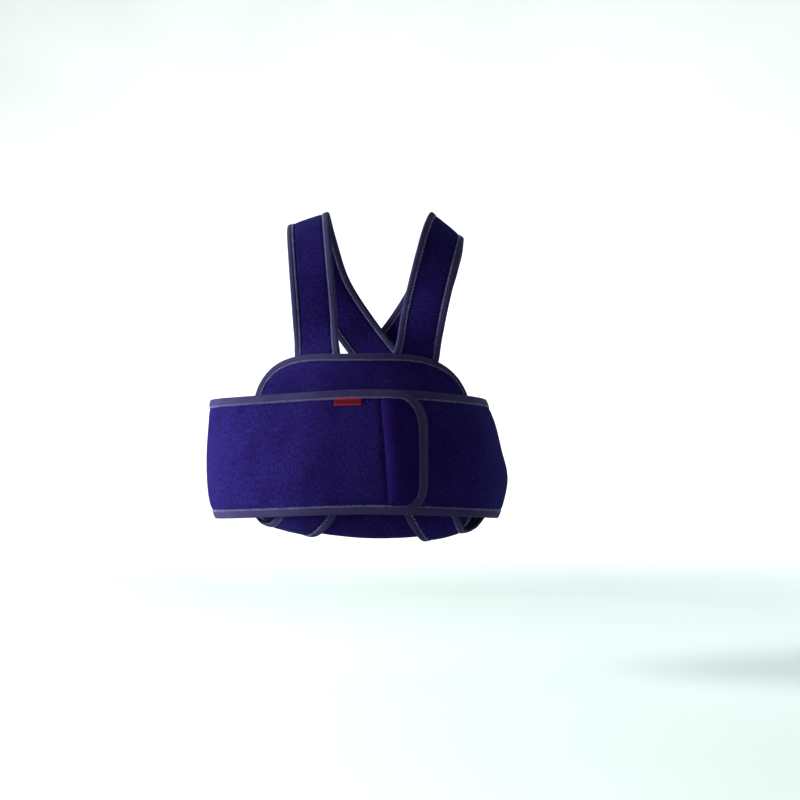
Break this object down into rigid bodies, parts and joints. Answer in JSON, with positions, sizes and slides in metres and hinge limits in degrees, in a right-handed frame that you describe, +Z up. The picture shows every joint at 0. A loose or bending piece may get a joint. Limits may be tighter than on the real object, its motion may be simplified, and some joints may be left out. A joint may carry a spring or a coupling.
{
  "type": "shoulder arm brace",
  "caption": "Padded navy sling with a forearm pouch and bib, two shoulder straps crossing at the back, and a wide belt that closes round the trunk and the upper arm.",
  "frame": {"origin": "between the two straps where they pass over the shoulders, in the middle plane of the trunk", "axes": "+Z up, the front of the brace towards -Y, +X towards the wearer's left"},
  "size_m": [0.4039, 0.2949, 0.4423],
  "materials": {
    "cloth": "brushed navy loop cloth over a foam core",
    "tape": "woven binding tape, greyed blue violet",
    "tab_cloth": "softer brushed navy cloth",
    "label_red": "woven red label, plain"
  },
  "bodies": {
    "root": {"belt": "cloth", "belt_binding": "tape", "belt_end_tab": "tab_cloth", "label": "label_red", "pouch": "cloth", "pouch_binding": "tape", "right_strap": "cloth", "right_strap_binding": "tape", "left_strap": "cloth", "left_strap_binding": "tape"}
  },
  "joints": []
}
